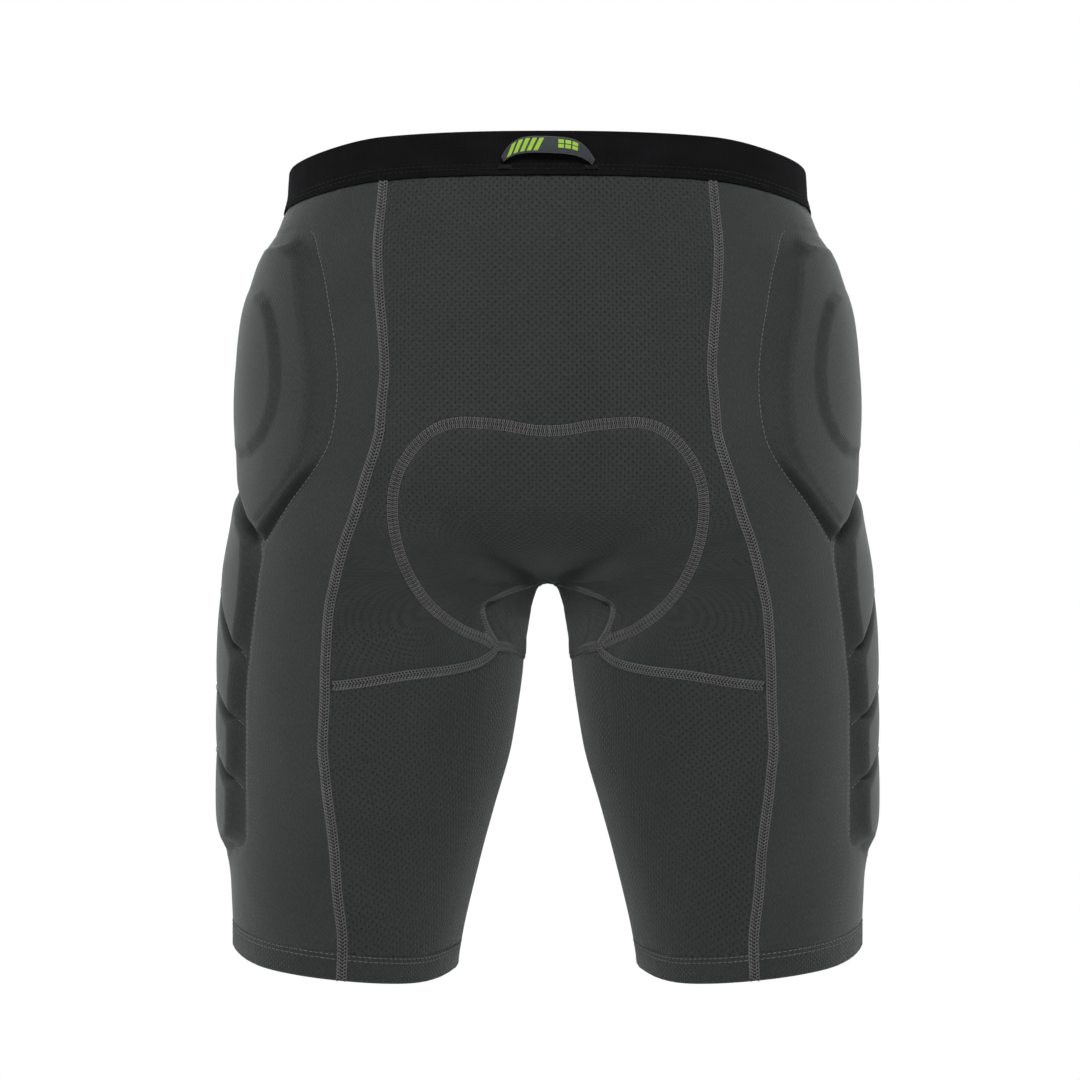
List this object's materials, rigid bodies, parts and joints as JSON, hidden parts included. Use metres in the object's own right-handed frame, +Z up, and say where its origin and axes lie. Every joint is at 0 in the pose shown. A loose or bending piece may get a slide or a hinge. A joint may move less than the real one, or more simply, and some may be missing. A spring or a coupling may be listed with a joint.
{
  "type": "padded impact shorts",
  "caption": "Close-fitting mid-thigh sports shorts with moulded hip and thigh impact pads, a seat pad, an elastic waistband and a hanger loop.",
  "frame": {"origin": "centre of the bounding box at the lowest point of the hems", "axes": "+Z up along the worn garment, -Y towards the wearer's front, +X towards the wearer's left"},
  "size_m": [0.3962, 0.2448, 0.4827],
  "materials": {
    "stretch_mesh": "matt perforated stretch knit",
    "side_mesh": "matt fine stretch knit",
    "band_elastic": "matt ribbed elastic",
    "elastic_core": "matt",
    "black_thread": "satin thread",
    "woven_label": null,
    "lining_mesh": "open mesh",
    "impact_foam": "matt moulded foam",
    "seat_pad_knit": "brushed knit",
    "seat_pad_foam": "matt foam",
    "silicone": "soft gloss silicone",
    "seam_thread": "matt polyester thread"
  },
  "bodies": {
    "pelvis": {"waistband_outer": "band_elastic", "waistband_elastic": "elastic_core", "loop_bartack_left": "black_thread", "loop_bartack_right": "black_thread", "back_panel": "stretch_mesh", "front_panel": "stretch_mesh", "crotch_gusset": "stretch_mesh", "seam_gusset_back": "seam_thread", "seam_gusset_front": "seam_thread", "seat_pad_base": "seat_pad_knit", "seat_pad_foam_left": "seat_pad_foam", "seat_pad_foam_right": "seat_pad_foam", "seat_pad_coverstitch": "seam_thread", "side_panel_left": "side_mesh", "hip_pad_left": "impact_foam", "pad_lining_left": "lining_mesh", "seam_back_left": "seam_thread", "seam_front_left": "seam_thread", "side_panel_right": "side_mesh", "hip_pad_right": "impact_foam", "pad_lining_right": "lining_mesh", "seam_back_right": "seam_thread", "seam_front_right": "seam_thread"},
    "hanger_loop": {"hanger_loop": "woven_label"},
    "leg_left": {"rear_thigh_panel_left": "stretch_mesh", "front_thigh_panel_left": "stretch_mesh", "thigh_pad_left_1": "impact_foam", "thigh_pad_left_2": "impact_foam", "thigh_pad_left_3": "impact_foam", "thigh_pad_left_4": "impact_foam", "hem_band_left": "stretch_mesh", "hem_gripper_left": "silicone", "seam_rear_thigh_left": "seam_thread", "seam_front_thigh_left": "seam_thread", "seam_inseam_left": "seam_thread"},
    "leg_right": {"rear_thigh_panel_right": "stretch_mesh", "front_thigh_panel_right": "stretch_mesh", "thigh_pad_right_1": "impact_foam", "thigh_pad_right_2": "impact_foam", "thigh_pad_right_3": "impact_foam", "thigh_pad_right_4": "impact_foam", "hem_band_right": "stretch_mesh", "hem_gripper_right": "silicone", "seam_rear_thigh_right": "seam_thread", "seam_front_thigh_right": "seam_thread", "seam_inseam_right": "seam_thread"}
  },
  "joints": [
    {"name": "hip_left", "type": "hinge", "parent": "pelvis", "child": "leg_left", "pos_m": [0.088, -0.01278, 0.3], "axis": [-1, 0, 0], "range_deg": [-15, 45], "stiffness_Nm_per_rad": 0.6, "deforming": ["side_panel_left", "pad_lining_left", "seam_back_left", "seam_front_left", "rear_thigh_panel_left", "front_thigh_panel_left", "thigh_pad_left_1", "seam_rear_thigh_left", "seam_front_thigh_left", "seam_inseam_left"]},
    {"name": "hip_right", "type": "hinge", "parent": "pelvis", "child": "leg_right", "pos_m": [-0.088, -0.01278, 0.3], "axis": [-1, 0, 0], "range_deg": [-15, 45], "stiffness_Nm_per_rad": 0.6, "deforming": ["side_panel_right", "pad_lining_right", "seam_back_right", "seam_front_right", "rear_thigh_panel_right", "front_thigh_panel_right", "thigh_pad_right_1", "seam_rear_thigh_right", "seam_front_thigh_right", "seam_inseam_right"]},
    {"name": "hanger_loop_flip", "type": "hinge", "parent": "pelvis", "child": "hanger_loop", "pos_m": [0, 0.09582, 0.4646], "axis": [-1, 0, 0], "range_deg": [0, 110], "stiffness_Nm_per_rad": 0.0005}
  ]
}
